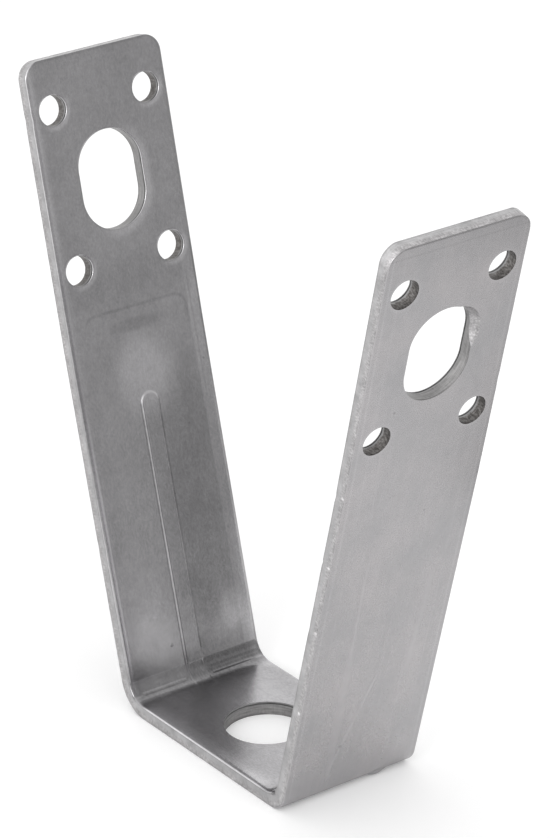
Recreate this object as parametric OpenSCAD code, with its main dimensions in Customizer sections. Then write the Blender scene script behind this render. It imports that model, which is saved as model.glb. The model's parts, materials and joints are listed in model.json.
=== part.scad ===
// Trapeze hanger: one strip of sheet steel, punched flat and folded twice.
// The flat base carries the hanging rod, and the two legs lean outwards to lie
// against the sloping ribs of a profiled steel deck, where screws hold them.
// The origin is the centre of the rod hole on the underside of the base.
// X runs along the base, Y across the strip, and Z points up between the legs.

/* [Sheet] */
// Width of the strip
strip_w = 30; // [26:0.5:40]
// Thickness of the sheet
sheet_t = 2.8; // [1.6:0.1:3.2]
// Radius of the two corners at the top of each leg, seen flat on
corner_r = 3.5; // [2:0.5:6]
// Width of the roll-over that the cutting left along the inner face
roll_reach = 1; // [0.3:0.05:1.4]
// Depth of that roll-over down the cut edge
roll_depth = 0.35; // [0.1:0.05:0.7]
// Rounding of the cut edge along the outer face
outer_edge_r = 0.2; // [0.1:0.05:0.7]

/* [Base] */
// Distance between the legs' inner faces, taken down to the base
base_in = 45.8; // [40:0.2:80]
// Diameter of the hole for the hanging rod
rod_hole_d = 16.3; // [8:0.1:20]

/* [Folds] */
// Inside radius of the folds between the base and the legs
fold_r = 4.3; // [2.5:0.1:6]
// Radius of the folding tool's nose, which printed a crease into each fold
nose_r = 1.6; // [1:0.1:2.2]
// Depth of that crease below the fold's own curve
crease_depth = 0.2; // [0.1:0.05:0.6]
// Its depth in front of the left fold's rib, where the nose barely touched
faint_crease_depth = 0.04; // [0.02:0.01:0.2]
// Plain stretch between the crease and the stiffening rib on either side
crease_gap = 0.4; // [0.2:0.1:2]

// How much tighter the right fold is outside than a free bend, as a drop in its radius
pinch = 2.5; // [0.5:0.1:3]
// Length of the lump that the pinching squeezed out on that fold
lump_l = 4; // [2:0.1:5]
// Thickness of the round ridge that the lump is the crest of
lump_w = 2.4; // [1.6:0.1:2.8]
// Height of the lump above the fold's outer face
lump_h = 0.45; // [0.2:0.05:0.6]
// Distance from the strip's centre line to the lump
lump_y = 7.3; // [0:0.1:10]
// Position of the lump round the fold, in degrees from straight down
lump_turn = 33; // [32:1:50]

/* [Legs] */
// Length of each leg along its inner face, from the base's upper face
leg_l = 123; // [110:0.2:160]
// Outward lean of the lower part of the left leg, in degrees from upright
lean_left = 13.8; // [5:0.1:25]
// Outward lean of the lower part of the right leg, in degrees from upright
lean_right = 16; // [5:0.1:25]
// Height along the leg at which it is set slightly inwards
set_at = 68; // [66:1:74]
// Angle by which it is set inwards there
set_angle = 0.9; // [0.5:0.1:2]
// Radius of that slight bend
set_r = 40; // [20:5:100]

/* [Holes in the legs] */
// Distance from the top edge down to the middle of the hole pattern
pattern_drop = 24.9; // [22:0.1:30]
// Width of the slot
slot_w = 13.8; // [8:0.1:16]
// Length of the slot, end to end
slot_l = 19; // [17:0.1:24]
// Diameter of the four screw holes
screw_hole_d = 5.8; // [3:0.1:6.5]
// Distance between screw holes across the strip
screw_pitch_y = 20.6; // [20:0.1:22]
// Distance between screw holes along the leg
screw_pitch_l = 30.5; // [26:0.1:32]
// Width of the roll-over round the holes in the legs, on the inner face
rim_reach = 0.7; // [0.2:0.05:0.8]
// Depth of that roll-over down the hole's wall
rim_depth = 0.2; // [0.1:0.05:0.5]

// How far the slot in the right leg broke out past its wall on the outer face
breakout_reach = 1.2; // [0.3:0.1:1.5]
// Depth of that breakout below the outer face
breakout_depth = 1.4; // [0.5:0.1:1.5]
// Radius of its curved outline
breakout_r = 6; // [5:0.1:6.5]
// Distance from the middle of the slot up to the middle of the breakout
breakout_up = 3; // [0:0.1:4]

/* [Stiffening ribs] */
// Width of the rib at its foot
rib_w = 4; // [2.5:0.1:6]
// Height of the rib above the inner face
rib_h = 0.35; // [0.2:0.05:0.8]
// Width of the sloping flank on each side of the rib
rib_flank = 0.3; // [0.1:0.05:0.6]
// Distance from the base's upper face along the leg to the rib's upper tip
rib_top = 57; // [40:1:60]

/* [Hidden] */
$fn = 96;
steel = [0.66, 0.66, 0.67];
// Cutters run this far past the faces that they cut
past = 1;
// The rib reaches this far down into the sheet, so that the two are one piece
rib_root = 0.9;
set_run = micron(set_r * tan(set_angle / 2));
// The sheet thins by this much on every face where it is bent
bend_thinning = 0.01;
// A bend runs on by this much inside the flats that it joins, measured at mid-thickness
bend_lap = 0.1;
// Share of the lump's length that slopes at each end
lump_slope = 0.35;
// The slopes end this far below the fold's skin
lump_root = 0.05;

// Derived lengths are whole microns, so that stretches placed one after another meet
function micron(l) = round(l * 1000) / 1000;
// Distance from a fold's corner, where the inner faces would meet, to the start of its curve
function setback(lean) = micron(fold_r * tan((90 - lean) / 2));
// Radius of the arc that leaves a face flat at one end of reach and drops by depth at the other
function roll_radius(reach, depth) = micron((reach * reach + depth * depth) / (2 * depth));

// Sections lie flat: X across the strip, Y from the outer face up to the inner face.
// This is what rolling takes off the inner corner of an edge that stands at X = 0.
module roll_cut(reach, depth) {
    r = roll_radius(reach, depth);
    difference() {
        translate([-reach, sheet_t - r]) square([reach + past, r + past]);
        translate([-reach, sheet_t - r]) circle(r = r);
    }
}

// What tumbling takes off the outer corner of the same edge
module outer_cut() {
    difference() {
        translate([-outer_edge_r, -past]) square([outer_edge_r + past, outer_edge_r + past]);
        translate([-outer_edge_r, outer_edge_r]) circle(r = outer_edge_r);
    }
}

// The sheet from X = 0 out to a finished edge at X = w, less this thinning
module edge_profile(w, thinning = 0) {
    edge = w - thinning;
    difference() {
        translate([0, thinning]) square([edge, sheet_t - 2 * thinning]);
        translate([edge, -thinning]) roll_cut(roll_reach, roll_depth);
        translate([edge, thinning]) outer_cut();
    }
}

module strip_section(thinning = 0) {
    edge_profile(strip_w / 2, thinning);
    mirror([1, 0]) edge_profile(strip_w / 2, thinning);
}

module rib_section(thinning = 0) {
    foot = rib_w / 2 - thinning;
    translate([0, sheet_t - thinning]) polygon([
        [-foot, -rib_root], [foot, -rib_root], [foot, 0],
        [foot - rib_flank, rib_h], [rib_flank - foot, rib_h], [-foot, 0]
    ]);
}

// Carries a section straight along X for length l
module straight_run(l) {
    rotate([90, 0, 90]) linear_extrude(l) children();
}

// Carries a section round an upward bend that starts at the origin
module bend_run(r, angle) {
    lap_angle = bend_lap / (r + sheet_t / 2) * 180 / PI;
    translate([0, 0, sheet_t + r]) rotate([90, 90, 0])
        rotate_extrude(angle = angle + 2 * lap_angle, start = -lap_angle)
            translate([sheet_t + r, 0]) rotate(90) children();
}

// Moves on to the frame at the far end of such a bend
module after_bend(r, angle) {
    translate([0, 0, sheet_t + r]) rotate([0, -angle, 0]) translate([0, 0, -sheet_t - r]) children();
}

// What a pinched fold has outside a free bend: a tighter outer skin, half the sheet thick,
// which both flats run on to meet
module pinched_skin(angle) {
    outer_r = fold_r + sheet_t - pinch;
    skin = sheet_t / 2;
    run_on = micron(pinch * tan(angle / 2));
    module outer_half(thinning) {
        intersection() {
            strip_section(thinning);
            translate([-strip_w, 0]) square([2 * strip_w, skin]);
        }
    }
    straight_run(run_on) outer_half(0);
    translate([run_on, 0, 0]) bend_run(outer_r - sheet_t, angle) outer_half(bend_thinning);
    after_bend(fold_r, angle) mirror([1, 0, 0]) straight_run(run_on) outer_half(0);
    translate([run_on, 0, outer_r]) rotate([0, -lump_turn, 0])
        translate([0, lump_y, -outer_r]) lump();
}

// A round ridge across the strip with sloping ends, which stands out downwards by lump_h
// where the fold's skin is at the origin
module lump() {
    crest_r = lump_w / 2;
    slope = lump_l * lump_slope;
    translate([0, 0, crest_r - lump_h]) rotate([90, 0, 0]) {
        cylinder(h = lump_l - 2 * slope, r = crest_r, center = true);
        for (end = [0, 1]) mirror([0, 0, end]) translate([0, 0, lump_l / 2 - slope])
            cylinder(h = slope, r1 = crest_r, r2 = crest_r - lump_h - lump_root);
    }
}

// A flat end of the strip with rounded corners and a rolled edge all the way round
module leg_end(l) {
    side = strip_w / 2 - corner_r;
    straight_run(l - corner_r) strip_section();
    translate([l - corner_r, 0, 0]) {
        rotate([90, 0, 0]) linear_extrude(2 * side, center = true) edge_profile(corner_r);
        translate([0, side, 0]) rotate_extrude(angle = 90) edge_profile(corner_r);
        translate([0, -side, 0]) rotate([0, 0, -90]) rotate_extrude(angle = 90) edge_profile(corner_r);
    }
}

// Half of a hole's cutter, from its axis out to its wall and rolled rim
module punch_profile(r) {
    translate([0, -past]) square([r, sheet_t + 2 * past]);
    translate([r, 0]) mirror([1, 0]) roll_cut(rim_reach, rim_depth);
}

// Cutter for a round hole, or for a slot along X with this much straight wall
module punch(r, straight = 0) {
    if (straight == 0) rotate_extrude() punch_profile(r);
    else {
        for (end = [-1, 1]) translate([end * straight / 2, 0, 0])
            rotate([0, 0, -90 * end]) rotate_extrude(angle = 180) punch_profile(r);
        translate([-straight / 2, 0, 0]) straight_run(straight) {
            punch_profile(r);
            mirror([1, 0]) punch_profile(r);
        }
    }
}

// Where the sheet tore away outside one long wall of the slot: a cone that narrows inwards
module breakout() {
    widening = past * breakout_reach / breakout_depth;
    translate([breakout_up, slot_w / 2 + breakout_reach - breakout_r, -past])
        cylinder(h = past + breakout_depth, r1 = breakout_r + widening, r2 = breakout_r - breakout_reach);
}

// The slot and the four screw holes, centred on the pattern
module leg_punches() {
    punch(slot_w / 2, slot_l - slot_w);
    for (x = [-0.5, 0.5], y = [-0.5, 0.5])
        translate([x * screw_pitch_l, y * screw_pitch_y, 0]) punch(screw_hole_d / 2);
}

// One rounded end of the rib, closing it off towards +X
module rib_end() {
    rotate([0, 0, -90]) rotate_extrude(angle = 180) intersection() {
        rib_section();
        square([rib_w, sheet_t + rib_h]);
    }
}

// From the end of the base's flat outwards: fold, lower leg, slight bend and upper leg
module leg(lean) {
    fold = 90 - lean;
    lower = set_at - setback(lean) - set_run;
    bend_run(fold_r, fold) strip_section(bend_thinning);
    after_bend(fold_r, fold) {
        straight_run(lower) strip_section();
        translate([lower, 0, 0]) {
            bend_run(set_r, set_angle) strip_section(bend_thinning);
            after_bend(set_r, set_angle) leg_end(leg_l - set_at - set_run);
        }
    }
}

// The rib starts on the base, runs through the fold and ends part way up the leg
module rib(lean) {
    fold = 90 - lean;
    run = rib_top - rib_w / 2 - setback(lean);
    mirror([1, 0, 0]) rib_end();
    bend_run(fold_r, fold) rib_section(bend_thinning);
    after_bend(fold_r, fold) {
        straight_run(run) rib_section();
        translate([run, 0, 0]) rib_end();
    }
}

// What the punches and the folding tool's nose leave in one leg and its fold
module leg_cuts(lean, front_crease_depth) {
    fold = 90 - lean;
    lower = set_at - setback(lean) - set_run;
    crease_l = (strip_w - rib_w) / 2 - crease_gap;
    translate([0, 0, sheet_t + fold_r]) rotate([0, -fold / 2, 0])
        for (side = [-1, 1]) {
            depth = side < 0 ? front_crease_depth : crease_depth;
            translate([0, side * (strip_w / 2 + past), nose_r - fold_r - depth])
                rotate([90 * side, 0, 0]) cylinder(h = crease_l + past, r = nose_r);
        }
    after_bend(fold_r, fold) translate([lower, 0, 0]) after_bend(set_r, set_angle)
        translate([leg_l - set_at - set_run - pattern_drop, 0, 0]) {
            leg_punches();
            children();
        }
}

// Places children, made for a fold that goes off along +X, at both ends of the base
module at_fold(lean) {
    translate([base_in / 2 - setback(lean), 0, 0]) children();
}

module hanger() {
    left_flat = base_in / 2 - setback(lean_left);
    right_flat = base_in / 2 - setback(lean_right);
    color(steel) difference() {
        union() {
            translate([-left_flat, 0, 0]) straight_run(left_flat + right_flat) strip_section();
            at_fold(lean_right) leg(lean_right);
            at_fold(lean_right) pinched_skin(90 - lean_right);
            at_fold(lean_right) rib(lean_right);
            mirror([1, 0, 0]) {
                at_fold(lean_left) leg(lean_left);
                at_fold(lean_left) rib(lean_left);
            }
        }
        at_fold(lean_right) leg_cuts(lean_right, crease_depth) breakout();
        mirror([1, 0, 0]) at_fold(lean_left) leg_cuts(lean_left, faint_crease_depth);
        translate([0, 0, -past]) cylinder(h = sheet_t + 2 * past, d = rod_hole_d);
    }
}

hanger();
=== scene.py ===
# %% [markdown]
# # A trapeze hanger in bare steel
# The real part is one strip of sheet steel. A press punches the blank flat, a second tool
# stamps a shallow stiffening rib across each fold line, and a folding tool then bends both
# legs up. It hangs from a threaded rod, and its legs are screwed to a profiled steel deck.
# This lesson makes the strip in that same order: cut the blank, punch it, press it, fold
# it. Work in flat steel stays simple that way, because every size is measured on a flat
# sheet, and one short function folds the finished sheet at the end.

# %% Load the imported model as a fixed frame
import json
import math

import bmesh
import bpy
from mathutils import Matrix, Vector, noise


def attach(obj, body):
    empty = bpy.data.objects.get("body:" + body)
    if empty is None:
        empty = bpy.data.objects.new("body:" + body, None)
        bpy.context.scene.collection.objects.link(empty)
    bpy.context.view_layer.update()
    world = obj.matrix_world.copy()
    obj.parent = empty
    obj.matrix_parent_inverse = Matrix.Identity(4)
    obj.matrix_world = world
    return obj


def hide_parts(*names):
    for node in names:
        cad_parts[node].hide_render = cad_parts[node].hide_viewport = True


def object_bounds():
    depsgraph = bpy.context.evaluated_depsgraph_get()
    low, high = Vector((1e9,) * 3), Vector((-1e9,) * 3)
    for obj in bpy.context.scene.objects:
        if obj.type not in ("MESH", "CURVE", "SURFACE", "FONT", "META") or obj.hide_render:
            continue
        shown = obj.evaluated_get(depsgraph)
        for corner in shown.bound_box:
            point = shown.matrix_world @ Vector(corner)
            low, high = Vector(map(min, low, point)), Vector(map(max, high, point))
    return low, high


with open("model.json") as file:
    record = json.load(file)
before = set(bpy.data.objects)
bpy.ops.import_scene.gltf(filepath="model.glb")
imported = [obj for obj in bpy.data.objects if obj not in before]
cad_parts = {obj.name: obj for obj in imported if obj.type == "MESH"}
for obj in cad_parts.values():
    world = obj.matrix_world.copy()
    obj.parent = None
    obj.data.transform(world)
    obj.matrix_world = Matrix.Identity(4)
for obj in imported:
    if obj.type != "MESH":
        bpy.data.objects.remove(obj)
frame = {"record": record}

solid_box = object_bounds()
print("the solid measures", [round(side * 1000, 3) for side in solid_box[1] - solid_box[0]], "mm")

# %% [markdown]
# ## Sizes
# All modelling here is in millimetres, which is how a sheet-metal drawing is written, and
# the mesh is scaled to metres once, at the end. The solid's own record holds the sizes of
# the holes, so they are read from there and not typed a second time.

# %% The sheet, the folds and the holes
mm = 0.001
mounts = {mount["name"]: mount["dims"] for mount in frame["record"]["mounts"]}

strip_w = (solid_box[1].y - solid_box[0].y) / mm
sheet_t = mounts["rod_hole"]["length_mm"]
rod_hole_r = mounts["rod_hole"]["r_mm"]
screw_hole_r = mounts["left_leg_upper_screws"]["hole_r_mm"]
screw_pitch_across = mounts["left_leg_upper_screws"]["pcd_mm"]

corner_r = 3.5
roll_reach, roll_depth = 1.0, 0.35
outer_edge_r = 0.2
base_in = 45.8
fold_r = 4.3
leg_length = 123.0
set_at, set_angle, set_r = 68.0, math.radians(0.9), 40.0
pattern_drop = 24.9
slot_w, slot_l = 13.8, 19.0
screw_pitch_along = 30.5
rim_reach, rim_depth = 0.7, 0.2
rib_w, rib_h, rib_flank, rib_top = 4.0, 0.3, 0.25, 57.0

print(f"strip {strip_w:.2f} x {sheet_t:.2f} mm, rod hole {2 * rod_hole_r:.2f} mm")

# %% [markdown]
# ## How a flat point finds its place on the folded strip
# A folded strip is straight stretches joined by round bends. `Leg` keeps where each
# stretch starts on the flat blank, and a matrix that carries flat coordinates to the
# stretch's place. Inside a bend, a point keeps its distance from the inner face and turns
# about the bend's centre. The right fold was pinched by its tool, so its outer face
# follows a tighter arc than a free bend would, and the sheet is a little thicker there.

# %% One leg, flat and folded
def after_bend(radius, angle):
    """The matrix of the straight stretch that follows an upward bend at the origin."""
    centre = Matrix.Translation((0, 0, sheet_t + radius))
    return centre @ Matrix.Rotation(-angle, 4, "Y") @ centre.inverted()


class Leg:
    def __init__(self, side, lean, pinch):
        self.side = side
        self.fold = math.radians(90 - lean)
        self.pinch = pinch
        setback = fold_r * math.tan(self.fold / 2)
        set_run = set_r * math.tan(set_angle / 2)
        self.fold_start = base_in / 2 - setback
        self.lower_start = self.fold_start + fold_r * self.fold
        self.set_start = self.lower_start + set_at - setback - set_run
        self.upper_start = self.set_start + set_r * set_angle
        self.tip = self.upper_start + leg_length - set_at - set_run
        self.pattern = self.tip - pattern_drop
        self.rib_tip = self.lower_start + rib_top - setback
        self.fold_place = Matrix.Translation((self.fold_start, 0, 0))
        self.lower_place = self.fold_place @ after_bend(fold_r, self.fold)
        self.set_place = self.lower_place @ Matrix.Translation((self.set_start - self.lower_start, 0, 0))
        self.upper_place = self.set_place @ after_bend(set_r, set_angle)

    def outer_distance(self, angle):
        """How far the fold's outer face is from the fold's centre, at this angle round it."""
        free_r = fold_r + sheet_t
        from_end = min(angle, self.fold - angle)
        if free_r * math.tan(from_end) <= self.pinch * math.tan(self.fold / 2):
            return free_r / math.cos(from_end)
        offset = self.pinch / math.cos(self.fold / 2)
        turn = angle - self.fold / 2
        outer_r = free_r - self.pinch
        return offset * math.cos(turn) + math.sqrt(outer_r ** 2 - (offset * math.sin(turn)) ** 2)

    def bent(self, run, y, z, radius):
        """A point of the sheet inside a bend, seen from where the bend starts."""
        angle = run / radius
        distance = radius + sheet_t - z
        if radius == fold_r and z < sheet_t:
            distance = radius + (self.outer_distance(angle) - radius) * (sheet_t - z) / sheet_t
        return Vector((distance * math.sin(angle), y, sheet_t + radius - distance * math.cos(angle)))

    def folded(self, x, y, z):
        """Where a point of the flat blank ends up, x being its distance from the base's middle."""
        if x <= self.fold_start:
            place = Vector((x, y, z))
        elif x <= self.lower_start:
            place = self.fold_place @ self.bent(x - self.fold_start, y, z, fold_r)
        elif x <= self.set_start:
            place = self.lower_place @ Vector((x - self.lower_start, y, z))
        elif x <= self.upper_start:
            place = self.set_place @ self.bent(x - self.set_start, y, z, set_r)
        else:
            place = self.upper_place @ Vector((x - self.upper_start, y, z))
        return Vector((self.side * place.x, place.y, place.z))


left = Leg(-1, 13.8, 0.0)
right = Leg(1, 16.0, 2.5)
print(f"flat blank: {left.tip + right.tip:.1f} mm long")

# %% [markdown]
# ## The blank
# The blank could be a cube with its corners bevelled, but a sheared strip has two kinds of
# edge. The shear pulls the face that it enters down into a wide soft roll-over, and leaves
# the other face nearly square. Bevelling a section that is stretched in height, and
# squashing it back, gives that low wide curve. The section is then extruded along the
# strip, with close stations where the sheet will bend or be pressed, and wide ones between.

# %% The section across the strip
def only(items, kind):
    return [item for item in items if isinstance(item, kind)]


def subdivide_to(mesh, edges, pace):
    """Cuts each edge into equal parts of about this length."""
    for edge in edges:
        cuts = round(edge.calc_length() / pace) - 1
        if cuts > 0:
            bmesh.ops.subdivide_edges(mesh, edges=[edge], cuts=cuts)


def round_corners(mesh, corners, offset, segments):
    bmesh.ops.bevel(mesh, geom=corners, offset=offset, segments=segments, profile=0.5,
                    affect="VERTICES", material=-1)


def strip_section(mesh, x):
    """The strip's section at x, as one face: rolled above, nearly square below."""
    stretch = roll_reach / roll_depth
    bmesh.ops.create_grid(mesh, x_segments=1, y_segments=1, size=0.5)
    bmesh.ops.scale(mesh, verts=mesh.verts, vec=(strip_w, sheet_t, 1))
    bmesh.ops.translate(mesh, verts=mesh.verts, vec=(0, sheet_t / 2, 0))
    upright = Matrix(((0, 0, 1), (1, 0, 0), (0, 1, 0))).to_4x4()
    bmesh.ops.transform(mesh, verts=mesh.verts, matrix=upright)
    round_corners(mesh, [v for v in mesh.verts if v.co.z < sheet_t / 2], outer_edge_r, 3)
    bmesh.ops.scale(mesh, verts=mesh.verts, vec=(1, 1, stretch))
    round_corners(mesh, [v for v in mesh.verts if v.co.z > (sheet_t - 0.01) * stretch], roll_reach, 8)
    bmesh.ops.scale(mesh, verts=mesh.verts, vec=(1, 1, 1 / stretch))
    rib_band = 0.6 * rib_w
    for y in (-rib_band, rib_band):
        everything = mesh.verts[:] + mesh.edges[:] + mesh.faces[:]
        bmesh.ops.bisect_plane(mesh, geom=everything, plane_co=(0, y, 0), plane_no=(0, 1, 0))
    bmesh.ops.dissolve_faces(mesh, faces=mesh.faces[:])
    for edge in mesh.edges[:]:
        middle = (edge.verts[0].co + edge.verts[1].co) / 2
        long_edge = edge.calc_length() > roll_reach
        if long_edge and middle.z > sheet_t / 2:
            subdivide_to(mesh, [edge], 0.2 if abs(middle.y) < rib_band else 0.8)
        elif long_edge:
            subdivide_to(mesh, [edge], 0.6)
    bmesh.ops.translate(mesh, verts=mesh.verts, vec=(x, 0, 0))
    return mesh.edges[:]


print(f"section: {strip_w} x {sheet_t} mm, rolled over {roll_reach} mm wide above")


# %% Stations along the strip, and the extrusion through them
def stations(leg):
    """Distances from the base's middle at which the blank gets a ring of vertices."""
    found = [0.0]

    def run_to(end, pace):
        start = found[-1]
        steps = max(1, round((end - start) / pace))
        found.extend(start + (end - start) * step / steps for step in range(1, steps + 1))

    run_to(leg.fold_start - rib_w / 2 - 0.4, 2.0)
    run_to(leg.fold_start, 0.2)
    run_to(leg.lower_start, 0.11)
    run_to(leg.rib_tip - rib_w / 2 - 0.4, 1.0)
    run_to(leg.rib_tip + 0.4, 0.2)
    run_to(leg.set_start, 1.0)
    run_to(leg.upper_start, 0.2)
    run_to(leg.tip - corner_r, 1.2)
    corner_steps = 16
    steps_left = range(corner_steps - 1, -1, -1)
    found.extend(leg.tip - corner_r * (step / corner_steps) ** 2 for step in steps_left)
    return found


def extrude_blank():
    mesh = bmesh.new()
    xs = [-x for x in reversed(stations(left))] + stations(right)[1:]
    front = strip_section(mesh, xs[0])
    for start, end in zip(xs, xs[1:]):
        made = bmesh.ops.extrude_edge_only(mesh, edges=front)["geom"]
        verts = set(only(made, bmesh.types.BMVert))
        bmesh.ops.translate(mesh, verts=list(verts), vec=(end - start, 0, 0))
        front = [edge for edge in only(made, bmesh.types.BMEdge) if set(edge.verts) <= verts]
    bmesh.ops.edgeloop_fill(mesh, edges=front)
    bmesh.ops.recalc_face_normals(mesh, faces=mesh.faces)
    return mesh, len(xs)


blank, ring_count = extrude_blank()
print(f"blank: {ring_count} rings, {len(blank.faces)} faces")

# %% [markdown]
# The ends of the strip have round corners. Narrowing each ring near the tip by the
# corner's own circle keeps the roll-over on the rim all the way round, which a cut through
# the corner would lose. The same rings let the end itself roll over.

# %% Round off both tips
def round_tip(mesh, leg):
    for v in mesh.verts:
        from_tip = max(leg.tip - leg.side * v.co.x, 0)
        if from_tip > corner_r:
            continue
        inset = corner_r - math.sqrt(max(corner_r ** 2 - (corner_r - from_tip) ** 2, 0))
        v.co.y *= 1 - inset / (strip_w / 2)
        if from_tip < roll_reach:
            rise = math.sqrt(max(1 - (1 - from_tip / roll_reach) ** 2, 0))
            v.co.z = min(v.co.z, sheet_t - roll_depth * (1 - rise))
        if from_tip < outer_edge_r:
            fall = math.sqrt(outer_edge_r ** 2 - (outer_edge_r - from_tip) ** 2)
            v.co.z = max(v.co.z, outer_edge_r - fall)


for leg in (left, right):
    round_tip(blank, leg)
print("tips rounded to", corner_r, "mm")

# %% [markdown]
# ## The punches
# Each hole is cut by a punch of its own form, a Boolean difference. The punch enters from
# the face that ends up inside the fold, so the rim there is pulled down as the strip's
# edges are. Building the punch as a stack of rings, each extruded from the last and
# scaled, puts that flared rim on the tool, where it is easy to make. A slot's punch is a
# round one whose two halves are moved apart. The walls get their own material slot,
# because torn steel doesn't shine like the rolled face.

# %% Material slots of the strip
ROLLED, SHEARED, PUNCHED = 0, 1, 2
steels = [bpy.data.materials.new(name) for name in ("rolled_steel", "sheared_steel", "punched_steel")]


def object_in_steel(name, mesh):
    """Turns a bmesh into an object that has all three kinds of steel, and frees the bmesh."""
    data = bpy.data.meshes.new(name)
    mesh.to_mesh(data)
    mesh.free()
    for steel in steels:
        data.materials.append(steel)
    return bpy.data.objects.new(name, data)


print("material slots:", [steel.name for steel in steels])


# %% A flared punch, round or long
clear = 1.0


def punch(mesh, x, y, radius, straight=0.0):
    facets, rim_steps = 96, 8
    rings = [(radius, -clear), (radius, 0.5 * sheet_t), (radius, sheet_t - rim_depth)]
    for step in range(1, rim_steps + 1):
        turn = math.radians(90 * step / rim_steps)
        flared = radius + rim_reach * (1 - math.cos(turn))
        rings.append((flared, sheet_t - rim_depth * (1 - math.sin(turn))))
    rings.append((radius + 1.05 * rim_reach, sheet_t + clear))
    at = Matrix.Translation((x, y, rings[0][1])) @ Matrix.Rotation(math.pi / facets, 4, "Z")
    verts = bmesh.ops.create_circle(mesh, cap_ends=True, segments=facets, radius=radius, matrix=at)["verts"]
    made_verts = list(verts)
    front = list(dict.fromkeys(edge for v in verts for edge in v.link_edges))
    for (old_r, old_z), (new_r, new_z) in zip(rings, rings[1:]):
        made = bmesh.ops.extrude_edge_only(mesh, edges=front)["geom"]
        verts = only(made, bmesh.types.BMVert)
        growth = new_r / old_r
        bmesh.ops.scale(mesh, verts=verts, vec=(growth, growth, 1), space=Matrix.Translation((-x, -y, 0)))
        bmesh.ops.translate(mesh, verts=verts, vec=(0, 0, new_z - old_z))
        front = [edge for edge in only(made, bmesh.types.BMEdge) if set(edge.verts) <= set(verts)]
        made_verts += verts
    bmesh.ops.edgeloop_fill(mesh, edges=front)
    for v in made_verts:
        v.co.x += math.copysign(straight / 2, v.co.x - x)


def cutter_object(name, make, wall):
    mesh = bmesh.new()
    make(mesh)
    bmesh.ops.recalc_face_normals(mesh, faces=mesh.faces)
    for face in mesh.faces:
        face.material_index = wall if abs(face.normal.z) < 0.7 else ROLLED
    return object_in_steel(name, mesh)


def all_punches(mesh):
    rod = Matrix.Translation((0, 0, sheet_t / 2))
    bmesh.ops.create_cone(mesh, cap_ends=True, segments=128, radius1=rod_hole_r, radius2=rod_hole_r,
                          depth=sheet_t + 2 * clear, matrix=rod)
    for leg in (left, right):
        x = leg.side * leg.pattern
        punch(mesh, x, 0, slot_w / 2, slot_l - slot_w)
        for up in (-0.5, 0.5):
            for across in (-0.5, 0.5):
                punch(mesh, x + up * screw_pitch_along, across * screw_pitch_across, screw_hole_r)


print(f"each punch flares by {rim_reach} mm over its last {rim_depth} mm")


# %% [markdown]
# On the right leg the slot's punch tore a crescent out of the outer face. A blunt cone,
# set a little off the slot's middle, takes that wedge away.

# %% The torn crescent
breakout_reach, breakout_depth, breakout_r, breakout_up = 1.2, 1.4, 6.0, 3.0


def breakout(mesh):
    widening = clear * breakout_reach / breakout_depth
    at = Matrix.Translation((right.pattern + breakout_up, slot_w / 2 + breakout_reach - breakout_r,
                             (breakout_depth - clear) / 2))
    bmesh.ops.create_cone(mesh, cap_ends=True, segments=96, radius1=breakout_r + widening,
                          radius2=breakout_r - breakout_reach, depth=breakout_depth + clear, matrix=at)


print(f"crescent torn out {breakout_reach} mm wide and {breakout_depth} mm deep")


# %% Punch the blank
def cut(body, cutter):
    """Takes the cutter away from the body, and keeps the result as the body's own mesh."""
    bpy.context.collection.objects.link(cutter)
    boolean = body.modifiers.new("punch", "BOOLEAN")
    boolean.operation, boolean.solver, boolean.object = "DIFFERENCE", "EXACT", cutter
    seen = body.evaluated_get(bpy.context.evaluated_depsgraph_get())
    body.data = bpy.data.meshes.new_from_object(seen)
    body.modifiers.clear()
    bpy.data.objects.remove(cutter)


strip = object_in_steel("hanger_strip", blank)
bpy.context.collection.objects.link(strip)
cut(strip, cutter_object("punches", all_punches, PUNCHED))
cut(strip, cutter_object("breakout", breakout, ROLLED))
print("punched blank:", len(strip.data.polygons), "faces,",
      sum(face.material_index == PUNCHED for face in strip.data.polygons), "of them in the holes")

# %% [markdown]
# ## The press: ribs, creases and a lump
# A rib is a press mark, so it is made as one: every vertex of the inner face that lies
# inside the rib's outline is lifted. The folding tool's nose printed a shallow groove
# along each fold, deeper in some places than in others, and where it pinched the right
# fold it squeezed out one small lump.

# %% Heights that the press adds to a flat point
nose_r, crease_gap = 1.6, 0.4
crease_depth, faint_crease_depth = 0.2, 0.07
lump_h, lump_l, lump_w, lump_y, lump_turn = 0.42, 4.0, 2.2, 7.3, math.radians(33)


def rib_height(leg, x, y):
    inner = min(max(x, leg.fold_start), leg.rib_tip - rib_w / 2)
    inside = rib_w / 2 - math.hypot(x - inner, y)
    base_end = leg.fold_start - rib_w / 2
    fade = min(max((x - base_end) / (leg.lower_start + 3 - base_end), 0), 1)
    return rib_h * min(max(inside / rib_flank, 0), 1) * fade


def crease(leg, x, y):
    """How deep the nose went in at this point of a fold."""
    if abs(y) < rib_w / 2 + crease_gap:
        return 0.0
    depth = faint_crease_depth if leg is left and y < 0 else crease_depth
    offset = fold_r + depth - nose_r
    turn = (x - leg.fold_start) / fold_r - leg.fold / 2
    if abs(turn) > math.pi / 2 or abs(offset * math.sin(turn)) > nose_r:
        return 0.0
    reach = offset * math.cos(turn) + math.sqrt(nose_r ** 2 - (offset * math.sin(turn)) ** 2)
    return max(reach - fold_r, 0)


def lump(leg, x, y):
    if leg is left:
        return 0.0
    round_fold = fold_r * ((x - leg.fold_start) / fold_r - lump_turn) / (lump_w / 2) * 1.5
    across = (y - lump_y) / (lump_l / 2)
    return lump_h * max(1 - round_fold ** 2 - across ** 2, 0)


print(f"rib {rib_h} mm high, crease {crease_depth} mm deep, lump {lump_h} mm high")


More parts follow.
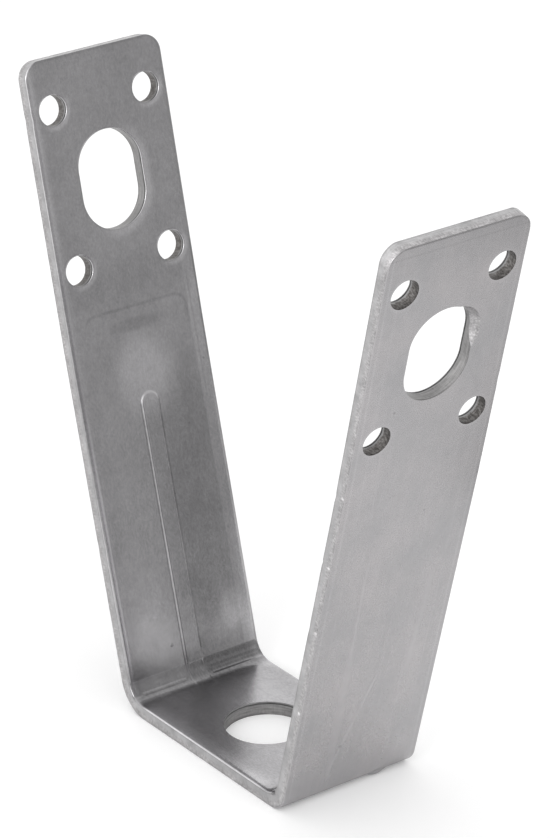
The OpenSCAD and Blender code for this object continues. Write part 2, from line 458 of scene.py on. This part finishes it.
# %% [markdown]
# A real strip isn't perfectly flat, and bare steel shows it at once, because its
# reflections bend. A low, slow wave of a few hundredths of a millimetre is enough. Knocks
# from other parts in the bin leave small dents in the faces and nicks along the edges, so
# each one is listed with its place, its radius and its depth.

# %% Waves, dents and nicks
wave_h, wave_l = 0.03, 14.0
roughness_h, roughness_l = 0.05, 0.7


def wave(x, y, face):
    """How far a face is below its true plane, never above it."""
    return wave_h * (0.5 + 0.5 * noise.noise(Vector((x / wave_l, y / wave_l, 7.0 * face))))


def along(leg, up):
    """Flat distance of a place that is this far up the leg from its inner corner."""
    return leg.lower_start - fold_r * math.tan(leg.fold / 2) + up


pad_half, pad_corner, pad_top, pad_h = 11.5, 2.7, 73.7, 0.035


def pad_mark(leg, x, y):
    """The step that the rib tool's pad left on the left leg, above the rib's tip."""
    if leg is right:
        return 0.0
    up = x - along(leg, pad_top) + pad_corner
    beyond = math.hypot(max(up, 0), max(abs(y) - pad_half + pad_corner, 0))
    fade = min(max((up + 9) / 9, 0), 1)
    return pad_h * min(max((pad_corner - beyond) / 0.5, 0), 1) * fade


dents = [
    (left, "inner", 24.0, 9.5, 4.0, 0.06), (left, "inner", 10.0, -9.0, 5.0, 0.05),
    (right, "outer", 10.0, -4.0, 1.3, 0.08), (right, "outer", 36.0, 6.5, 1.6, 0.05),
    (right, "outer", 96.0, 9.5, 1.4, 0.05), (left, "inner", 92.0, 11.0, 1.5, 0.05),
]
nicks = [(right, 71.0, -1, 0.9, 0.16), (right, 56.0, -1, 0.7, 0.12), (right, 41.0, -1, 0.8, 0.14),
         (left, 112.0, -1, 0.9, 0.15), (left, 30.0, -1, 0.8, 0.10), (right, 88.0, 1, 0.9, 0.12)]


def dent_depth(leg, face, x, y):
    depth = 0.0
    for dented, on, up, across, reach, deep in dents:
        if dented is leg and on == face:
            away = math.hypot(x - along(leg, up), y - across) / reach
            depth += deep * math.exp(-2 * away ** 2)
    return depth


def nick_depth(leg, x, y):
    """How far the strip's long edge is knocked in."""
    depth = 0.0
    for nicked, up, edge, reach, deep in nicks:
        if nicked is leg and y * edge > strip_w / 2 - 0.9:
            depth += deep * math.exp(-2 * ((x - along(leg, up)) / reach) ** 2)
    return depth


print(f"waves of {wave_h} mm, {len(dents)} dents and {len(nicks)} nicks")


# %% [markdown]
# ## Fold it
# Each vertex keeps its flat coordinates in an attribute called `flat` before it is
# folded. The finishes read that attribute later, so scratches run along the steel, and the
# bands inside a hole know how deep they are in the sheet.

# %% Press and fold every vertex
def press_and_fold(mesh):
    flat = mesh.verts.layers.float_vector.new("flat")
    edge = 0.02
    for v in mesh.verts:
        leg = left if v.co.x < 0 else right
        x, y, z = abs(v.co.x), v.co.y, v.co.z
        v[flat] = v.co
        on_inner = z > sheet_t - roll_depth + edge
        on_outer = z < edge
        if on_inner:
            z -= wave(v.co.x, y, 1) + dent_depth(leg, "inner", x, y) + pad_mark(leg, x, y)
            if x > leg.fold_start - rib_w:
                z += rib_height(leg, x, y) - crease(leg, x, y)
        elif on_outer:
            z += wave(v.co.x, y, 0) + dent_depth(leg, "outer", x, y)
            if leg.fold_start < x < leg.lower_start:
                z -= lump(leg, x, y)
        else:
            rough = roughness_h * (1 - noise.noise(Vector((v.co.x, y, z)) / roughness_l)) / 2
            away = max(abs(y) - strip_w / 2 + 0.6, 0) / 0.6
            y -= math.copysign(rough * away, y)
            x -= rough if leg.tip - x < 0.6 and away == 0 else 0
        knocked = nick_depth(leg, x, y)
        y -= math.copysign(knocked * min(1, abs(z - sheet_t / 2)), y)
        v.co = leg.folded(x, y, z) * mm


def mark_sheared(mesh):
    """Gives the strip's cut outline its own material slot, by how far each face is from flat."""
    flat = mesh.verts.layers.float_vector["flat"]
    for face in mesh.faces:
        depth = sum(v[flat].z for v in face.verts) / len(face.verts)
        if face.material_index == ROLLED and outer_edge_r < depth < sheet_t - 0.8 * roll_depth:
            face.material_index = SHEARED


mesh = bmesh.new()
mesh.from_mesh(strip.data)
bmesh.ops.remove_doubles(mesh, verts=mesh.verts, dist=0.001)

# The Boolean can leave a hair-thin slit where a vertex lies on a neighbour's edge.
slit_gap = 0.02
slits = dict.fromkeys(v for edge in mesh.edges if not edge.is_manifold for v in edge.verts)
bmesh.ops.remove_doubles(mesh, verts=list(slits), dist=slit_gap)
print("slits closed at", len(slits), "vertices")
press_and_fold(mesh)
mark_sheared(mesh)
for face in mesh.faces:
    face.smooth = True
for edge in mesh.edges:
    if len(edge.link_faces) == 2 and edge.calc_face_angle() > math.radians(35):
        edge.smooth = False
mesh.to_mesh(strip.data)
print("folded:", len(mesh.verts), "vertices,", sum(len(face.verts) - 2 for face in mesh.faces), "triangles",
      "open edges", sum(not e.is_manifold for e in mesh.edges))
mesh.free()
weighted = strip.modifiers.new("even_shading", "WEIGHTED_NORMAL")
weighted.keep_sharp = True

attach(strip, "root")
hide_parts("hanger")

# %% [markdown]
# ## Shader sums that read like sums
# A material is a graph of small nodes. Writing each Math node by hand hides the idea, so
# this cell wraps a socket in a class whose operators add the nodes. `1 - mask` then works
# as it does on paper. Every other kind of node goes through one method of the finish.

# %% A socket that can be added, multiplied and compared
class Value:
    def __init__(self, finish, socket):
        self.finish = finish
        self.socket = socket

    def math(self, operation, *others):
        sockets = dict(enumerate((self,) + others))
        return self.finish.node("ShaderNodeMath", {"operation": operation}, sockets)

    def __add__(self, other):
        return self.math("ADD", other)

    def __mul__(self, other):
        return self.math("MULTIPLY", other)

    __radd__ = __add__
    __rmul__ = __mul__

    def __sub__(self, other):
        return self.math("SUBTRACT", other)

    def __rsub__(self, other):
        return self.finish.value(other).math("SUBTRACT", self)

    def __pow__(self, other):
        return self.math("POWER", other)

    def __neg__(self):
        return self * -1

    def least(self, other):
        return self.math("MINIMUM", other)

    def most(self, other):
        return self.math("MAXIMUM", other)

    def size(self):
        return self.math("ABSOLUTE")

    def step(self, low, high):
        """0 below low, 1 above high and a soft rise between them; it falls where low is larger."""
        sockets = {"Value": self, "From Min": low, "From Max": high}
        return self.finish.node("ShaderNodeMapRange", {"interpolation_type": "SMOOTHSTEP"}, sockets)

    def near(self, middle, reach, core):
        """1 within the core's half width of a middle value, fading softly to 0 at the reach."""
        return (self - middle).size().step(reach, core)


class Finish:
    """A node tree under construction, for a material or for the world."""
    def __init__(self, owner):
        self.owner = owner
        owner.use_nodes = True
        self.tree = owner.node_tree
        self.tree.nodes.clear()

    def value(self, number):
        """A bare number as a Value, for the left side of a subtraction."""
        return self.node("ShaderNodeMath", {"operation": "ADD"}, {0: number, 1: 0.0})

    def node(self, kind, settings, sockets, output=0):
        """Adds one node: its settings first, then the numbers or links of its sockets."""
        made = self.tree.nodes.new(kind)
        for name, setting in settings.items():
            setattr(made, name, setting)
        for name, given in sockets.items():
            if isinstance(given, Value):
                self.tree.links.new(given.socket, made.inputs[name])
            else:
                made.inputs[name].default_value = given
        return Value(self, made.outputs[output]) if made.outputs else None

    def mix(self, factor, first, second):
        """A blend of two colours by a factor."""
        return self.node("ShaderNodeMix", {"data_type": "RGBA"}, {0: factor, 6: first, 7: second}, 2)

    def cloud(self, place, scale, detail=2.0, offset=0.0):
        """Noise about 0, between roughly -1 and 1, on a place that is scaled along each axis."""
        moved = self.node("ShaderNodeVectorMath", {"operation": "MULTIPLY_ADD"},
                          {0: place, 1: scale, 2: (offset, offset, offset)})
        noise_node = self.node("ShaderNodeTexNoise", {}, {"Vector": moved, "Scale": 1.0, "Detail": detail})
        return (noise_node - 0.5) * 3.0

    def metal(self, steel, tone, roughness, relief, bump_strength, bump_height):
        """Ends the tree with bare metal: a colour scaled by a tone, and a bump from a relief."""
        colour = self.node("ShaderNodeVectorMath", {"operation": "SCALE"}, {0: steel, "Scale": tone})
        bump = self.node("ShaderNodeBump", {},
                         {"Strength": bump_strength, "Distance": bump_height * mm, "Height": relief})
        shader = self.node("ShaderNodeBsdfPrincipled", {}, {
            "Base Color": colour, "Metallic": 1.0, "Roughness": roughness, "Normal": bump,
        })
        self.node("ShaderNodeOutputMaterial", {}, {"Surface": shader})


print("helpers ready:", Value.__name__, Finish.__name__)

# %% [markdown]
# ## Cold-rolled steel
# The finish of rolled sheet is a story in layers. The rolls leave a fine grain and faint
# streaks that run with the strip. Oil, handling and the drying of a wash leave broad,
# weak stains, slightly brown in places. Sliding against other parts leaves long scuffs,
# which scatter more light than the sheet round them. Everything reads the `flat`
# attribute, in millimetres on the blank, so each pattern turns with the sheet at a fold.
# Each kind of mark is a function that returns how much it lightens or darkens the steel.

# %% Where a point is on the blank
class Sheet:
    """Where a shaded point is on the blank: x along it, y across it and its depth, in mm."""
    def __init__(self, finish):
        self.finish = finish
        self.place = finish.node("ShaderNodeAttribute", {"attribute_name": "flat"}, {}, "Vector")
        self.x, self.y, self.depth = [
            finish.node("ShaderNodeSeparateXYZ", {}, {0: self.place}, axis) for axis in "XYZ"]

    def up(self, leg):
        """How far up this leg the point is, from the leg's inner corner."""
        return self.x * leg.side - along(leg, 0)


class RolledSheet(Sheet):
    """Adds masks for the rolled faces, and the stains that several marks share."""
    def __init__(self, finish):
        super().__init__(finish)
        self.up_left = self.up(left)
        self.up_right = self.up(right)
        self.inner = self.depth.step(2.0, 2.3)
        self.inside_left = self.inner * self.x.step(-20, -30)
        self.outside = self.depth.step(1.2, 0.6) * self.x.step(15, 30)
        self.stains = finish.cloud(self.place, (0.07, 0.09, 0.4), 4.0, 23.0)


print(f"marks are placed on the blank; the left leg's corner is at x = {-along(left, 0):.2f} mm")


# %% Two kinds of mark: a stroke and an oval
def stroke(up, across, start, end, width):
    """1 along a straight scratch, fading to 0 at its width and beyond its ends."""
    length = math.dist(start, end)
    run_up, run_across = (end[0] - start[0]) / length, (end[1] - start[1]) / length
    along_it = (up - start[0]) * run_up + (across - start[1]) * run_across
    beside = ((up - start[0]) * run_across - (across - start[1]) * run_up).size()
    return beside.step(width, 0) * along_it.step(-2, 2) * along_it.step(length + 2, length - 2)


def oval(up, across, centre, reach):
    """1 in the middle of an oval, fading softly to 0 at its reach up the leg and across it."""
    from_centre = ((up - centre[0]) * (1 / reach[0])) ** 2 + ((across - centre[1]) * (1 / reach[1])) ** 2
    return from_centre.step(1, 0)


print("kinds of mark:", [mark.__name__ for mark in (stroke, oval)])


# %% Scuffs, a scratch and pits
scuffs_on_right = [
    # start and end as (up the leg, across it), width and strength
    ((52, -6.5), (33, -6.1), 0.45, 1.0), ((25.5, 1.2), (5, -5.6), 0.45, 0.9),
    ((46, 9.0), (24, 8.2), 0.9, 0.5), ((84, -9.0), (66, -8.2), 0.4, 0.5),
    ((33, -6.1), (2, -5.5), 1.2, 0.4),
]
scratch_start, scratch_end, scratch_w = (78, 12.6), (54, 12.9), 0.3
pits_in_steel = [
    # leg, distance up it, distance across it, radius
    (left, 7.7, -4.3, 0.45), (left, 60.0, 13.4, 0.3), (left, 48.6, 7.8, 0.3),
    (right, 10.0, -4.0, 0.5), (right, 63.0, 4.0, 0.3), (right, 88.0, -7.5, 0.35),
]


def scuff_marks(sheet):
    marks = 0.0
    for start, end, width, strength in scuffs_on_right:
        marks = stroke(sheet.up_right, sheet.y, start, end, width) * strength + marks
    patchy = 0.65 + sheet.finish.cloud(sheet.place, (0.3, 3.0, 1.0), 3.0, 3.0) * 0.5
    return marks * sheet.outside * patchy


def pit_marks(sheet):
    """Small knocks, on the inner face of the left leg and on the outer face of the right one."""
    outer = sheet.depth.step(0.8, 0.5)
    marks = 0.0
    for leg, up, across, reach in pits_in_steel:
        spot = ((sheet.up(leg) - up) ** 2 + (sheet.y - across) ** 2).step(reach ** 2, 0)
        marks = spot * (sheet.inner if leg is left else outer) + marks
    return marks


print(f"{len(scuffs_on_right)} scuffs and {len(pits_in_steel)} pits")


# %% [markdown]
# ## What the press left on the left leg, with painted light and shade
# The rib tool's pad left a hollow above the rib's tip, coloured lighter, with a fine line
# round its upper edge and painted shade round it. The rib's flanks catch the light on one side
# only, and painted shade darkens both. The sheet also gets painted light and shade low on the
# leg and beside the rib, and painted shade in the fold.

# %% The pad's hollow, and painted shade round it
def pad_hollow_and_shade(sheet):
    """The lighter hollow above the rib, and painted shade in the zones round it."""
    up, across = sheet.up_left, sheet.y
    hollow = oval(up, across, (60.5, -0.3), (11.765, 9.091)) ** 2 * sheet.inside_left
    upper_band = oval(up, across, (70.3, 0.0), (1.667, 8.333))
    above = up.near(79, 6.667, 0)
    beside = oval(up, across, (57.0, 9.5), (8.333, 3.333))
    return hollow * 0.36 - upper_band * 0.14 - above * 0.1 - beside * 0.1


def pad_outline(sheet):
    """The fine line along the pad's upper edge and its round corners."""
    beyond_up = sheet.up_left - (pad_top - pad_corner)
    beyond_across = sheet.y.size() - (pad_half - pad_corner)
    from_corner = (beyond_up.most(0) ** 2 + beyond_across.most(0) ** 2) ** 0.5
    line = from_corner.near(pad_corner, 0.45, 0.1)
    return line * beyond_up.step(-4.5, -1) * sheet.y.step(-11.3, -10.3) * sheet.inside_left


print(f"the pad's mark is {2 * pad_half} mm wide and ends {pad_top} mm up the left leg")


# %% Painted shade on the rib's flanks, a painted highlight at its tip, and painted light and shade beside it
rib_end = rib_top - rib_w / 2


def rib_flank_shade(sheet):
    """Painted shade on the rib's two flanks, darker further up the leg."""
    foot = rib_w / 2 - 0.1
    rising = sheet.up_left.step(12, 40)
    far_flank = sheet.y.near(foot, 0.32, 0.2) * (0.36 + rising * 0.27)
    near_flank = sheet.y.near(-foot, 0.32, 0.2) * (0.04 + rising * 0.26)
    on_rib = sheet.up_left.step(3, 7) * sheet.up_left.step(rib_end + 1, rib_end) * sheet.inside_left
    return (far_flank + near_flank) * on_rib


def rib_tip_highlight(sheet):
    """A painted highlight round the rib's tip."""
    from_tip_centre = ((sheet.up_left - rib_end) ** 2 + sheet.y ** 2) ** 0.5
    arc = from_tip_centre.near(rib_w / 2 - 0.12, 0.3, 0.1)
    return arc * sheet.up_left.step(rib_end - 0.3, rib_end + 0.5) * sheet.inside_left


# Painted light and shade: a light patch low on the leg, a shine near the far edge and a lighter strip
# beside the rib, a darker patch low on the leg and darker steel on the rib's far side.
def leg_shades(sheet):
    up, across = sheet.up_left, sheet.y
    light_patch = oval(up, across, (11.0, 10.5), (5.0, 3.571))
    far_shine = across.step(12.4, 14.2) * up.step(34, 20)
    near_side = across.step(-1.9, -2.5) * across.step(-13, -9) * up.step(62, 50)
    dark_patch = oval(up, across, (12.0, 1.0), (11.765, 8.333))
    far_side = across.step(1.7, 2.3) * across.step(13, 6) * up.step(62, 35)
    return light_patch * 0.28 + far_shine * 0.25 + near_side * 0.08 - dark_patch * 0.2 - far_side * 0.1


print(f"the rib is {rib_w} mm wide and its round tip starts {rib_end:.2f} mm up the leg")


# %% The left fold
def fold_lines(sheet):
    """A bright and a dark line, where the folding tool's nose rubbed the fold."""
    middle = (left.fold_start + left.lower_start) / 2
    bright = (-sheet.x).near(middle + 0.1, 0.28, 0.05) * 0.45
    dark = (-sheet.x).near(middle - 0.45, 0.28, 0.05) * 0.4
    stretch = sheet.y.step(-13.4, -12.6) * sheet.y.step(-2.6, -3.2)
    return (bright - dark) * stretch * (0.8 + sheet.stains * 0.4)


def fold_shade(sheet):
    """Painted shade in the fold, from just before it to a little way up the leg."""
    from_base = (-sheet.x).step(left.fold_start - 1, left.fold_start + 1.5)
    up_the_leg = (-sheet.x).step(left.lower_start + 6, left.lower_start)
    strength = 0.31 + sheet.stains * 0.08 + sheet.y.step(-8, 12) * 0.06
    return from_base * up_the_leg * sheet.inner * strength


print(f"left fold: {left.fold_start:.2f} to {left.lower_start:.2f} mm along the blank")


# %% [markdown]
# ## Painted highlights and shade on rims and edges
# Rims and edges get painted highlights on the sides that face the light, and painted shade in
# places. The distance to the nearest hole is worked out as on a drawing: fold the leg's hole
# pattern onto itself, so that four screw holes become one, and measure from that one's centre.

# %% Painted highlights on rims, edges and the base
def rim_highlights(sheet):
    """Painted highlights on the left leg's rims, on the side that faces the light; faint on the outer face.
    """
    pattern = left.pattern + sheet.x.step(-1, 1) * (right.pattern - left.pattern)
    up, across = sheet.x.size() - pattern, sheet.y
    past_straight = (up.size() - (slot_l - slot_w) / 2).most(0)
    from_slot = (past_straight ** 2 + across ** 2) ** 0.5 - slot_w / 2
    screw_up = up - up.math("SIGN") * (screw_pitch_along / 2)
    screw_across = across - across.math("SIGN") * (screw_pitch_across / 2)
    from_screw = (screw_up ** 2 + screw_across ** 2) ** 0.5 - screw_hole_r
    slot_rims = from_slot.step(2.4, 0.2) * (across - up * 0.4).step(-3, 7)
    screw_rims = from_screw.step(1.3, 0.2) * (screw_across - screw_up).step(-1, 4)
    inner_rims = slot_rims.most(screw_rims) * sheet.inside_left
    return inner_rims * 0.38 + from_screw.step(0.9, 0.2) * sheet.outside * 0.06


def edge_highlights_and_shade(sheet):
    """Painted highlights and shade along the strip's long edges: the near one bright high up, the far one a
    pale band, with faint light lines on the outer face.
    """
    up, across = sheet.up_left, sheet.y
    near_edge = across.step(-12.4, -14.6) ** 2 * up.step(60, 95) * 0.32 + across.step(-12.2, -14.4) * 0.08
    near_edge = near_edge + across.near(-14.3, 0.7, 0.1) * up.step(62, 40) * 0.55
    near_edge = near_edge - across.step(-14.3, -14.8) * up.step(25, 45) * 0.36
    far_band = across.step(11.7, 12.2) * up.step(88, 76)
    far_edge = far_band * 0.18 - across.step(14.2, 14.7) * far_band * 0.5
    outer_lines = across.size().near(13.9, 0.35, 0.05) * 0.08 + across.size().near(11.4, 0.3, 0.05) * 0.03
    return (near_edge + far_edge) * sheet.inside_left + outer_lines * sheet.outside


def base_highlights(sheet):
    """A painted reflection on the base's upper face under the left leg, and a painted highlight along its
    near edge.
    """
    top = sheet.x.size().step(20, 17) * sheet.inner
    near_edge = sheet.y.step(-9.5, -14.5) ** 2
    return top * (sheet.x.step(2, -6) * sheet.y.step(13, 6) * 0.16 + near_edge * 0.5)


def right_leg_shades(sheet):
    """Painted light low on the outer face, and a faint line below its tip."""
    low_part = sheet.up_right.step(50, 20) * sheet.outside
    tip_line = (right.tip - sheet.x).near(2.0, 0.3, 0.05) * sheet.depth.step(0.5, 0.3)
    return low_part * 0.06 - tip_line * 0.08


print(f"rims rubbed round each slot of {slot_w} x {slot_l} mm and its screw holes")


# %% The rolled faces
def rolled_finish():
    finish = Finish(steels[ROLLED])
    sheet = RolledSheet(finish)
    place, outside, stains = sheet.place, sheet.outside, sheet.stains
    grain = finish.cloud(place, (1.8, 3.2, 2.0), 4.0)
    streaks = finish.cloud(place, (0.015, 0.9, 0.3), 3.0, 11.0)
    fine_streaks = finish.cloud(place, (0.05, 4.0, 0.3), 2.0, 5.0)
    mottles = finish.cloud(place, (0.45, 0.55, 0.6), 3.0, 37.0)
    scuffs = scuff_marks(sheet)
    scratch = stroke(sheet.up_left, sheet.y, scratch_start, scratch_end, scratch_w) * sheet.inside_left
    pits = pit_marks(sheet)

    tone = 1 + streaks * (0.012 + outside * 0.016) + fine_streaks * 0.012 + stains * 0.085
    tone = tone + mottles * (0.075 - outside * 0.035) + grain * (0.17 - outside * 0.15)
    # Painted highlights on the rims and edges, and painted shade in the fold.
    tone = tone + rim_highlights(sheet) + edge_highlights_and_shade(sheet) - fold_shade(sheet)
    # The press marks include painted light and shade round the pad, the rib and the fold.
    press_marks_and_light = pad_hollow_and_shade(sheet) + rib_tip_highlight(sheet) * 0.45 + leg_shades(sheet) + fold_lines(sheet)
    tone = tone + press_marks_and_light * sheet.inner * sheet.x.step(-15, -19)
    tone = tone + scuffs * 0.15 - scratch * 0.16 - pits * 0.25
    # Painted shade on the rib's flanks.
    tone = tone - pad_outline(sheet) * 0.13 - rib_flank_shade(sheet)
    # Painted highlights on the base, and painted light low on the right leg.
    tone = tone + base_highlights(sheet) + right_leg_shades(sheet)

    cool_steel, warm_steel = (0.445, 0.438, 0.448, 1), (0.47, 0.448, 0.452, 1)
    steel = finish.mix(outside * (0.25 + stains * 0.5).most(0).least(1), cool_steel, warm_steel)
    roughness = 0.21 + sheet.x.size().step(19, 16) * 0.03 + streaks * 0.015 + stains * 0.015
    roughness = roughness + grain * 0.02 + outside * 0.06 + scuffs * 0.16
    relief = grain * (0.25 - outside * 0.15) + fine_streaks * (0.4 - outside * 0.3)
    relief = relief + mottles * 0.7 + scuffs * 0.8 - pits * 6.0
    finish.metal(steel, tone, roughness, relief, 0.12, 0.02)


rolled_finish()
print("nodes in rolled steel:", len(steels[ROLLED].node_tree.nodes))

# %% [markdown]
# ## Cut steel
# A shear or a punch first presses a bright, burnished band into the sheet and then tears
# the rest, which stays rough and dull. The depth is the distance from the outer face, so
# one soft step between the two bands, moved about by noise, gives the ragged line where
# the tear began. The punched walls are coloured far darker than the sheared outline, partly
# for rougher torn steel and partly as painted shade inside the holes. The screw holes' walls
# are the darkest, with thin arcs drawn by the punch.

# %% The sheared outline and the punched walls
wide_hole_steel = (0.32, 0.315, 0.315, 1)
specks_up, specks_depth = (71.5, 56.0, 41.0, 22.0), 0.7


def cut_finish(steel_slot, burnished, torn, speckle, torn_line, rim_shade, blotchy, wide_hole_share, arc_share):
    finish = Finish(steel_slot)
    sheet = Sheet(finish)
    place, x, y, depth = sheet.place, sheet.x, sheet.y, sheet.depth
    ragged = finish.cloud(place, (1.1, 1.1, 0.3), 4.0)
    flecks = finish.cloud(place, (3.0, 3.0, 1.6), 4.0, 9.0)
    drawn = finish.cloud(place, (5.0, 5.0, 0.5), 2.0, 17.0)
    blotches = finish.cloud(place, (0.5, 0.7, 0.5), 3.0, 29.0)
    arcs = finish.cloud(place, (0.3, 0.3, 3.6), 2.0, 41.0)
    bright = (depth + ragged * 0.3).step(torn_line - 0.2, torn_line + 0.2)

    # The slots and the rod hole get lighter walls than the screw holes, whose dark walls are partly painted
    # shade.
    from_pattern = (x.size() - (left.pattern + right.pattern) / 2).size()
    wide_holes = (from_pattern.step(11.5, 10.5) * y.size().step(8.6, 8.4)).most(x.size().step(12, 11))
    torn_tone = finish.mix((flecks * 0.8 + 0.3).most(0).least(1), torn, speckle)
    torn_tone = finish.mix(wide_holes * wide_hole_share, torn_tone, wide_hole_steel)
    steel = finish.mix(bright, torn_tone, burnished)

    under_rim = (depth + ragged * 0.04).near(sheet_t - 0.42, 0.2, 0.05)
    border = depth.step(0.45, 0.2) * (0.6 + ragged * 0.5)
    # The right leg's top end face gets a painted highlight and stronger arcs.
    at_tip = x.step(right.tip - 2, right.tip - 0.5)
    specks = 0.0
    for up in specks_up:
        specks = ((sheet.up(right) - up) ** 2 + (depth - specks_depth) ** 2).step(0.18, 0.02) + specks
    tone = (1 + drawn * 0.08 + flecks * 0.12 + blotches * blotchy) * (1 - under_rim * rim_shade)
    tone = tone + specks * y.step(-13, -14) * 0.7 - border * 0.25
    tone = tone + at_tip * 0.13 + arcs * (arc_share + at_tip * 0.16)

    roughness = 0.45 - bright * 0.15 + flecks * 0.05
    relief = flecks * (1 - bright * 0.7) + drawn * 0.5
    finish.metal(steel, tone, roughness, relief, 0.5, 0.05)


cut_finish(steels[SHEARED], burnished=(0.46, 0.455, 0.46, 1), torn=(0.39, 0.38, 0.385, 1),
           speckle=(0.62, 0.61, 0.615, 1), torn_line=1.3, rim_shade=0.15, blotchy=0.24,
           wide_hole_share=0.0, arc_share=0.04)
# The punched walls' dark colours are partly painted shade inside the holes.
cut_finish(steels[PUNCHED], burnished=(0.27, 0.267, 0.268, 1), torn=(0.098, 0.091, 0.087, 1),
           speckle=(0.29, 0.278, 0.272, 1), torn_line=1.9, rim_shade=0.8, blotchy=0.05,
           wide_hole_share=0.9, arc_share=0.38)
print("finishes:", [steel.name for steel in steels])

# %% [markdown]
# ## A white table in a studio
# Bare metal is mostly a picture of what stands round it. The hanger stands on a white
# table in a white studio. What its faces reflect is dimmer towards the far right, so the
# faces that look there are darker. The camera itself sees pure white behind the table,
# as in a catalogue picture.

# %% The floor
def floor_finish():
    finish = Finish(bpy.data.materials.new("pale_floor"))
    matt = finish.node("ShaderNodeBsdfPrincipled", {}, {
        "Base Color": (0.92, 0.92, 0.92, 1), "Roughness": 0.9, "Specular IOR Level": 0.1,
    })
    seen = finish.node("ShaderNodeLightPath", {}, {}, "Is Camera Ray")
    lift = finish.node("ShaderNodeEmission", {}, {"Color": (1, 1, 1, 1), "Strength": seen * 0.14})
    both = finish.node("ShaderNodeAddShader", {}, {0: matt, 1: lift})
    finish.node("ShaderNodeOutputMaterial", {}, {"Surface": both})
    return finish.owner


floor_half = 0.45
mesh = bmesh.new()
bmesh.ops.create_grid(mesh, x_segments=1, y_segments=1, size=floor_half)
floor_mesh = bpy.data.meshes.new("floor")
mesh.to_mesh(floor_mesh)
mesh.free()
floor = bpy.data.objects.new("floor", floor_mesh)
bpy.context.collection.objects.link(floor)
floor_mesh.materials.append(floor_finish())
print("table:", 2 * floor_half, "m wide")


# %% The studio's walls and ceiling
def studio():
    """White all round; in reflections brighter at the left front and dimmer at the far right."""
    finish = Finish(bpy.data.worlds.new("studio"))
    direction = finish.node("ShaderNodeTexCoord", {}, {}, "Generated")
    far_right = Vector((0.75, 0.55, 0.35)).normalized()
    left_front = Vector((0.2, -0.95, 0.25)).normalized()
    towards_right, towards_front = [
        finish.node("ShaderNodeVectorMath", {"operation": "DOT_PRODUCT"}, {0: direction, 1: side}, "Value")
        for side in (far_right, left_front)]
    walls = 1.0 + towards_front.step(0.3, 0.9) * 0.5 - towards_right.step(0.15, 0.85) * 0.56
    in_gloss = finish.node("ShaderNodeLightPath", {}, {}, "Is Glossy Ray")
    strength = 1 + in_gloss * (walls - 1)
    background = finish.node("ShaderNodeBackground", {}, {"Color": (1, 1, 1, 1), "Strength": strength})
    finish.node("ShaderNodeOutputWorld", {}, {"Surface": background})
    return finish.owner


bpy.context.scene.world = studio()
print("nodes in the studio's world:", len(bpy.context.scene.world.node_tree.nodes))


# %% One soft lamp above
def soft_lamp(name, place, aim, width, power):
    data = bpy.data.lights.new(name, "AREA")
    data.shape, data.size, data.energy = "DISK", width, power
    lamp = bpy.data.objects.new(name, data)
    bpy.context.collection.objects.link(lamp)
    lamp.location = place
    lamp.rotation_mode = "QUATERNION"
    lamp.rotation_quaternion = (Vector(aim) - Vector(place)).to_track_quat("-Z", "Y")
    return lamp


soft_lamp("soft_lamp", (0.34, -0.72, 0.42), (0, 0, 0.06), 0.4, 1.5)
print("lamps:", [lamp.name for lamp in bpy.data.lights])


# %% Two grey cards at the far right, which only reflections see
def grey_card(name, x, y, width, height, tone):
    """A card that stands on the table and faces the left leg, as the mirror ray does."""
    towards = Vector((0.85, 0.53, 0)).normalized()
    across = Vector((-towards.y, towards.x, 0))
    mesh = bmesh.new()
    bmesh.ops.create_grid(mesh, x_segments=1, y_segments=1, size=0.5)
    bmesh.ops.scale(mesh, verts=mesh.verts, vec=(width, height, 1))
    upright = Matrix((across, (0, 0, 1), -towards)).transposed().to_4x4()
    stand = Matrix.Translation((x, y, height / 2 + 0.001))
    bmesh.ops.transform(mesh, verts=mesh.verts, matrix=stand @ upright)
    data = bpy.data.meshes.new(name)
    mesh.to_mesh(data)
    mesh.free()
    card = bpy.data.objects.new(name, data)
    bpy.context.collection.objects.link(card)
    card.visible_camera = card.visible_diffuse = card.visible_shadow = False
    finish = Finish(bpy.data.materials.new(name))
    grey = finish.node("ShaderNodeEmission", {}, {"Color": (tone, tone, tone, 1), "Strength": 1.0})
    finish.node("ShaderNodeOutputMaterial", {}, {"Surface": grey})
    data.materials.append(finish.owner)
    return card


cards = [grey_card("tall_card", x=0.203, y=-0.005, width=0.377, height=0.22, tone=0.52),
         grey_card("low_card", x=0.064, y=0.076, width=0.042, height=0.055, tone=0.36)]
print("cards:", [card.name for card in cards])

# %% [markdown]
# ## The camera
# A long lens from a little above keeps the strip's edges nearly parallel. The camera's
# direction is worked out from its bearing and its height angle, with a touch of roll.

# %% The photograph's viewpoint
camera_data = bpy.data.cameras.new("camera")
camera = bpy.data.objects.new("camera", camera_data)
bpy.context.collection.objects.link(camera)
bpy.context.scene.camera = camera
camera_data.lens = 167.80
camera_data.clip_end = 10
elevation, azimuth, roll = math.radians(24.755), math.radians(54.395), math.radians(-1.116)
look = Vector((-math.sin(azimuth) * math.cos(elevation), math.cos(azimuth) * math.cos(elevation),
               -math.sin(elevation)))
camera.rotation_mode = "QUATERNION"
camera.rotation_quaternion = look.to_track_quat("-Z", "Y") @ Matrix.Rotation(roll, 3, "Z").to_quaternion()
camera.location = (0.523510, -0.371650, 0.361540)
print("camera at", tuple(round(c, 3) for c in camera.location), "m")

bpy.context.scene.view_settings.view_transform = "Standard"
